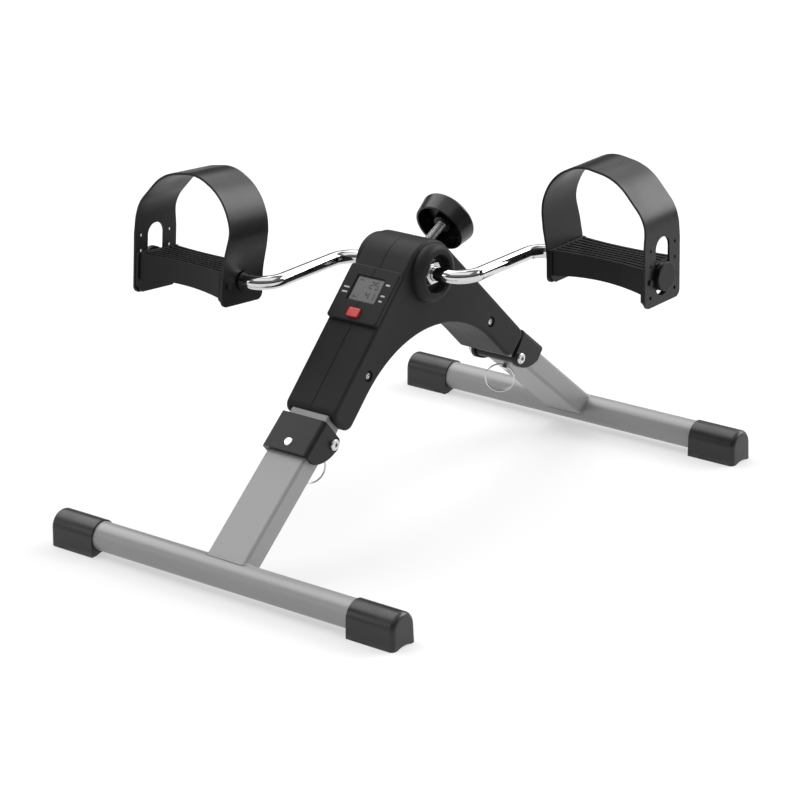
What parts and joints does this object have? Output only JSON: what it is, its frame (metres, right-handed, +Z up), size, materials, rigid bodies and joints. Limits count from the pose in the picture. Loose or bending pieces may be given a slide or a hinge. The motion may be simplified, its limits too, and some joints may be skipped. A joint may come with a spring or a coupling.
{
  "type": "folding pedal exerciser",
  "caption": "Folding pedal exerciser with hinged legs, arched housing, digital display, bent crank arms, strapped pedals and a tension knob.",
  "frame": {"origin": "On the floor, midway between the base tubes, below the crank axle.", "axes": "+X along the crank axle, -Y towards the user and the display, +Y away from the user, +Z up."},
  "size_m": [0.3892, 0.5092, 0.3028],
  "materials": {
    "grey_powder_coat": "satin silver-grey powder coat",
    "black_housing": "fine spark-eroded texture",
    "black_rubber": "satin moulded rubber",
    "black_powder_coat": "semi-gloss black powder coat",
    "chrome": "bright chrome plate",
    "steel": "zinc-plated steel",
    "pedal_black": "moulded plastic",
    "strap_black": "satin flexible plastic",
    "knob_black": "moulded plastic",
    "nylon": "natural nylon",
    "brake_lining": "friction lining",
    "lcd": "liquid crystal panel, unlit",
    "board_green": "circuit board",
    "red_button": "moulded plastic"
  },
  "bodies": {
    "frame": {"frame_tube": "grey_powder_coat", "hinge_barrel_front": "black_powder_coat", "hinge_barrel_rear": "black_powder_coat", "housing_left": "black_housing", "housing_right": "black_housing", "housing_screws": "steel", "housing_nuts": "steel", "hub_cover_left": "black_housing", "hub_cover_right": "black_housing", "hub_bearing_left": "nylon", "hub_bearing_right": "nylon", "hub_nut_left": "steel", "hub_nut_right": "steel", "monitor_case": "black_housing", "lcd_panel": "lcd", "circuit_board": "board_green", "button_cell": "steel"},
    "crank": {"crank_arm_left": "chrome", "crank_arm_right": "chrome", "friction_drum": "steel"},
    "pedal_left": {"pedal_body_left": "pedal_black", "pedal_strap_left": "strap_black", "pedal_bush_left": "pedal_black", "pedal_end_cap_left": "pedal_black", "pedal_pegs_left": "pedal_black"},
    "pedal_right": {"pedal_body_right": "pedal_black", "pedal_strap_right": "strap_black", "pedal_bush_right": "pedal_black", "pedal_end_cap_right": "pedal_black", "pedal_pegs_right": "pedal_black"},
    "leg_front": {"leg_tube_front": "grey_powder_coat", "leg_bracket_front": "black_powder_coat", "hinge_bolt_front": "steel", "hinge_nut_front": "steel", "base_tube_front": "grey_powder_coat", "end_cap_front_left": "black_rubber", "end_cap_front_right": "black_rubber"},
    "leg_rear": {"leg_tube_rear": "grey_powder_coat", "leg_bracket_rear": "black_powder_coat", "hinge_bolt_rear": "steel", "hinge_nut_rear": "steel", "base_tube_rear": "grey_powder_coat", "end_cap_rear_left": "black_rubber", "end_cap_rear_right": "black_rubber"},
    "lock_front": {"lock_pin_front": "steel"},
    "lock_rear": {"lock_pin_rear": "steel"},
    "ring_front": {"pull_ring_front": "steel"},
    "ring_rear": {"pull_ring_rear": "steel"},
    "brake": {"brake_shoe": "brake_lining"},
    "knob": {"tension_screw": "steel", "resistance_knob": "knob_black"},
    "button": {"mode_button": "red_button"}
  },
  "joints": [
    {"name": "crank_spin", "type": "hinge", "parent": "frame", "child": "crank", "pos_m": [0, 0, 0.2126], "axis": [1, 0, 0], "continuous": true},
    {"name": "pedal_left_spin", "type": "hinge", "parent": "crank", "child": "pedal_left", "pos_m": [-0.14, -0.106, 0.2126], "axis": [1, 0, 0], "continuous": true},
    {"name": "pedal_right_spin", "type": "hinge", "parent": "crank", "child": "pedal_right", "pos_m": [0.14, 0.106, 0.2126], "axis": [1, 0, 0], "continuous": true},
    {"name": "leg_front_fold", "type": "hinge", "parent": "frame", "child": "leg_front", "pos_m": [0, -0.1284, 0.0978], "axis": [1, 0, 0], "range_deg": [0, 80]},
    {"name": "leg_rear_fold", "type": "hinge", "parent": "frame", "child": "leg_rear", "pos_m": [0, 0.1284, 0.0978], "axis": [-1, 0, 0], "range_deg": [0, 80]},
    {"name": "lock_front_pull", "type": "slide", "parent": "leg_front", "child": "lock_front", "axis": [0, 0.6428, -0.766], "range_m": [0, 0.005], "stiffness_N_per_m": 600, "springref_m": -0.004},
    {"name": "ring_front_swing", "type": "hinge", "parent": "lock_front", "child": "ring_front", "pos_m": [0, -0.1393, 0.08278], "axis": [0.2588, 0.7399, 0.6209], "range_deg": [-15, 15]},
    {"name": "lock_rear_pull", "type": "slide", "parent": "leg_rear", "child": "lock_rear", "axis": [0, -0.6428, -0.766], "range_m": [0, 0.005], "stiffness_N_per_m": 600, "springref_m": -0.004},
    {"name": "ring_rear_swing", "type": "hinge", "parent": "lock_rear", "child": "ring_rear", "pos_m": [0, 0.1393, 0.08278], "axis": [0.766, 0.4924, -0.4132], "range_deg": [-15, 15]},
    {"name": "brake_travel", "type": "slide", "parent": "frame", "child": "brake", "axis": [0, 0.9063, 0.4226], "range_m": [-0.0003, 0.0015]},
    {"name": "knob_turn", "type": "hinge", "parent": "brake", "child": "knob", "pos_m": [0, 0.04532, 0.23373], "axis": [0, 0.9063, 0.4226], "range_deg": [-80, 430]},
    {"name": "button_press", "type": "slide", "parent": "frame", "child": "button", "axis": [0, 0.7071, -0.7071], "range_m": [0, 0.001], "stiffness_N_per_m": 400, "springref_m": -0.0005}
  ],
  "couplings": [
    {"joint": "brake_travel", "follows": "knob_turn", "m_per_rad": 0.00019894}
  ]
}
